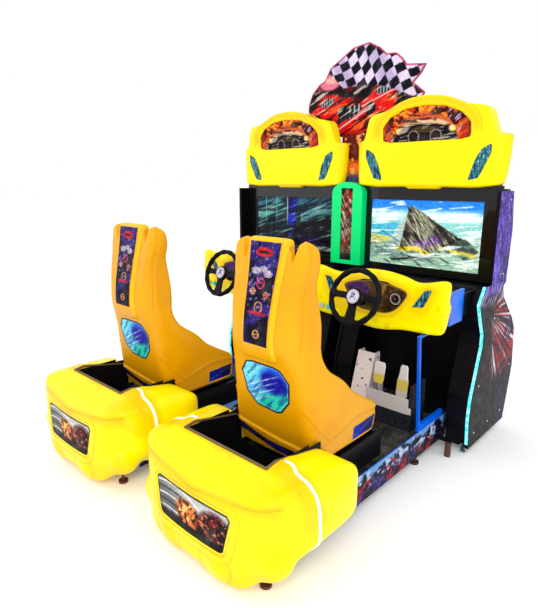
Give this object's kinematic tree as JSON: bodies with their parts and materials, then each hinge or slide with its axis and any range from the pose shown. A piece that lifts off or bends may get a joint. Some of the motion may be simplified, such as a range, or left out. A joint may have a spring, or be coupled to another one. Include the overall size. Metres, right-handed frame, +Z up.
{
  "type": "sitdown racing cabinet",
  "caption": "Side-by-side sit-down racing arcade cabinet with bucket seats on slides, steering wheels, pedals, screens, lit marquees and open tail pods.",
  "frame": {"origin": "centre of the footprint of the bounding box, on the floor", "axes": "+Z up, +Y from the seats towards the screens, +X to a seated player's right"},
  "size_m": [1.932, 2.2, 2.328],
  "materials": {
    "yellow_shell": "gloss",
    "amber_shell": "gloss",
    "black_board": "satin laminate",
    "printed_board": "printed laminate",
    "printed_steel": "printed film",
    "printed_plastic": "printed",
    "lamp_lens": "gloss",
    "cyan_light": "diffuser",
    "white_light": "diffuser",
    "black_gloss": "gloss",
    "screen_glass": "gloss",
    "green_shell": "gloss",
    "dash_inlay": "satin",
    "blue_steel": "gloss",
    "black_steel": "satin",
    "wheel_grip": "matt",
    "bright_steel": "brushed",
    "pedal_metal": "brushed",
    "floor_plate": "tread plate",
    "black_plastic": "matt",
    "foot_brown": "oxidised",
    "caster_tyre": "satin",
    "bolt_steel": "polished",
    "button_cyan": "gloss",
    "button_grey": "gloss"
  },
  "bodies": {
    "cabinet": {"accent_lamps": "lamp_lens", "base_frames": "black_steel", "base_side_panels": "printed_steel", "cabinet_carcass_left": "black_board", "cabinet_carcass_right": "black_board", "caster_forks": "bright_steel", "centre_artwork": "printed_plastic", "column_housing": "green_shell", "dash_brackets": "blue_steel", "dashboard_shell_left": "yellow_shell", "dashboard_shell_right": "yellow_shell", "edge_light_strips": "cyan_light", "floor_plates": "floor_plate", "footrests": "bright_steel", "instrument_panels": "dash_inlay", "levelling_feet": "foot_brown", "marquee_artwork": "printed_plastic", "marquee_shell_left": "yellow_shell", "marquee_shell_right": "yellow_shell", "monitor_bezels": "black_gloss", "monitor_panels": "screen_glass", "panel_bolts": "bolt_steel", "pedal_boxes": "bright_steel", "pod_light_strips": "white_light", "pod_shell_left": "yellow_shell", "pod_shell_right": "yellow_shell", "pod_trays": "black_plastic", "pod_windows": "printed_plastic", "seat_rails": "black_steel", "side_panels": "printed_board", "steering_columns": "black_steel", "topper_panel": "printed_plastic", "topper_posts": "black_steel"},
    "steering_left": {"steering_wheel_left": "wheel_grip", "wheel_badge_left": "bright_steel"},
    "accelerator_left": {"accelerator_pedal_left": "pedal_metal"},
    "brake_left": {"brake_pedal_left": "pedal_metal"},
    "seat_left": {"seat_shell_left": "amber_shell", "seat_panels_left": "printed_plastic", "seat_carriage_left": "black_steel"},
    "lever_left": {"seat_lever_left": "bright_steel"},
    "start_left": {"start_button_left": "button_cyan"},
    "view_left": {"view_button_left": "button_grey"},
    "door_left": {"rear_door_left": "black_board"},
    "caster_front_left": {"caster_wheel_front_left": "caster_tyre"},
    "caster_rear_left": {"caster_wheel_rear_left": "caster_tyre"},
    "steering_right": {"steering_wheel_right": "wheel_grip", "wheel_badge_right": "bright_steel"},
    "accelerator_right": {"accelerator_pedal_right": "pedal_metal"},
    "brake_right": {"brake_pedal_right": "pedal_metal"},
    "seat_right": {"seat_shell_right": "amber_shell", "seat_panels_right": "printed_plastic", "seat_carriage_right": "black_steel"},
    "lever_right": {"seat_lever_right": "bright_steel"},
    "start_right": {"start_button_right": "button_cyan"},
    "view_right": {"view_button_right": "button_grey"},
    "door_right": {"rear_door_right": "black_board"},
    "caster_front_right": {"caster_wheel_front_right": "caster_tyre"},
    "caster_rear_right": {"caster_wheel_rear_right": "caster_tyre"}
  },
  "joints": [
    {"name": "steering_turn_left", "type": "hinge", "parent": "cabinet", "child": "steering_left", "pos_m": [-0.503, 0.005, 0.926], "axis": [0, -0.9397, 0.342], "range_deg": [-135, 135]},
    {"name": "accelerator_press_left", "type": "hinge", "parent": "cabinet", "child": "accelerator_left", "pos_m": [-0.353, 0.33, 0.235], "axis": [-1, 0, 0], "range_deg": [0, 16], "stiffness_Nm_per_rad": 12, "springref_deg": -5.73},
    {"name": "brake_press_left", "type": "hinge", "parent": "cabinet", "child": "brake_left", "pos_m": [-0.5, 0.33, 0.235], "axis": [-1, 0, 0], "range_deg": [0, 12], "stiffness_Nm_per_rad": 40, "springref_deg": -2.86},
    {"name": "seat_slide_left", "type": "slide", "parent": "cabinet", "child": "seat_left", "axis": [0, 1, 0], "range_m": [-0.025, 0.11]},
    {"name": "seat_lever_lift_left", "type": "hinge", "parent": "seat_left", "child": "lever_left", "pos_m": [-0.473, -0.146, 0.308], "axis": [1, 0, 0], "range_deg": [0, 18], "stiffness_Nm_per_rad": 0.6, "springref_deg": -22.92},
    {"name": "start_press_left", "type": "slide", "parent": "cabinet", "child": "start_left", "axis": [0, 1, 0], "range_m": [0, 0.004], "stiffness_N_per_m": 300, "springref_m": -0.003},
    {"name": "view_press_left", "type": "slide", "parent": "cabinet", "child": "view_left", "axis": [0, 1, 0], "range_m": [0, 0.004], "stiffness_N_per_m": 300, "springref_m": -0.003},
    {"name": "rear_door_swing_left", "type": "hinge", "parent": "cabinet", "child": "door_left", "pos_m": [-0.811, 1.008, 0.38], "axis": [0, 0, 1], "range_deg": [0, 100]},
    {"name": "caster_spin_front_left", "type": "hinge", "parent": "cabinet", "child": "caster_front_left", "pos_m": [-0.928, 0.532, 0.0255], "axis": [1, 0, 0], "continuous": true},
    {"name": "caster_spin_rear_left", "type": "hinge", "parent": "cabinet", "child": "caster_rear_left", "pos_m": [-0.928, 0.857, 0.0255], "axis": [1, 0, 0], "continuous": true},
    {"name": "steering_turn_right", "type": "hinge", "parent": "cabinet", "child": "steering_right", "pos_m": [0.503, 0.005, 0.926], "axis": [0, -0.9397, 0.342], "range_deg": [-135, 135]},
    {"name": "accelerator_press_right", "type": "hinge", "parent": "cabinet", "child": "accelerator_right", "pos_m": [0.653, 0.33, 0.235], "axis": [-1, 0, 0], "range_deg": [0, 16], "stiffness_Nm_per_rad": 12, "springref_deg": -5.73},
    {"name": "brake_press_right", "type": "hinge", "parent": "cabinet", "child": "brake_right", "pos_m": [0.506, 0.33, 0.235], "axis": [-1, 0, 0], "range_deg": [0, 12], "stiffness_Nm_per_rad": 40, "springref_deg": -2.86},
    {"name": "seat_slide_right", "type": "slide", "parent": "cabinet", "child": "seat_right", "axis": [0, 1, 0], "range_m": [-0.025, 0.11]},
    {"name": "seat_lever_lift_right", "type": "hinge", "parent": "seat_right", "child": "lever_right", "pos_m": [0.533, -0.146, 0.308], "axis": [1, 0, 0], "range_deg": [0, 18], "stiffness_Nm_per_rad": 0.6, "springref_deg": -22.92},
    {"name": "start_press_right", "type": "slide", "parent": "cabinet", "child": "start_right", "axis": [0, 1, 0], "range_m": [0, 0.004], "stiffness_N_per_m": 300, "springref_m": -0.003},
    {"name": "view_press_right", "type": "slide", "parent": "cabinet", "child": "view_right", "axis": [0, 1, 0], "range_m": [0, 0.004], "stiffness_N_per_m": 300, "springref_m": -0.003},
    {"name": "rear_door_swing_right", "type": "hinge", "parent": "cabinet", "child": "door_right", "pos_m": [0.195, 1.008, 0.38], "axis": [0, 0, 1], "range_deg": [0, 100]},
    {"name": "caster_spin_front_right", "type": "hinge", "parent": "cabinet", "child": "caster_front_right", "pos_m": [0.928, 0.532, 0.0255], "axis": [1, 0, 0], "continuous": true},
    {"name": "caster_spin_rear_right", "type": "hinge", "parent": "cabinet", "child": "caster_rear_right", "pos_m": [0.928, 0.857, 0.0255], "axis": [1, 0, 0], "continuous": true}
  ]
}
